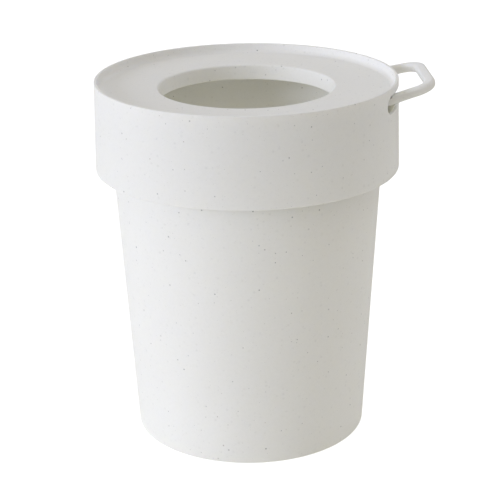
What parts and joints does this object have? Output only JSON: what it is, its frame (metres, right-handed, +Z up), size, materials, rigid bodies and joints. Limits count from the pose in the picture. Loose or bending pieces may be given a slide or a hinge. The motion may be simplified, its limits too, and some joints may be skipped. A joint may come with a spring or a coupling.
{
  "type": "waste bin",
  "caption": "Small round tapered waste bin with a bag ring, a loop handle and a wide over-cap that has a round hole and hides the bag's edge.",
  "frame": {"origin": "centre of the bucket's flat underside, on the bucket's axis", "axes": "+Z up along the bucket's axis; +X towards the loop handle and the slot in the cap; the part is symmetric about the XZ plane"},
  "size_m": [0.2796, 0.2534, 0.3058],
  "materials": {
    "bucket_plastic": "matt warm white with fine dark specks",
    "ring_plastic": "matt warm white with fine dark specks",
    "handle_plastic": "matt warm white, smooth to the hand",
    "cover_plastic": "matt warm white with fine dark specks"
  },
  "bodies": {
    "bin": {"bucket": "bucket_plastic"},
    "ring": {"bag_ring": "ring_plastic", "handle": "handle_plastic"},
    "cap": {"cover": "cover_plastic"}
  },
  "joints": [
    {"name": "ring_lift", "type": "slide", "parent": "bin", "child": "ring", "axis": [0, 0, 1], "range_m": [0, 0.1]},
    {"name": "cover_tilt", "type": "hinge", "parent": "ring", "child": "cap", "pos_m": [0.1213, 0, 0.295], "axis": [0, 1, 0], "range_deg": [0, 9]}
  ]
}
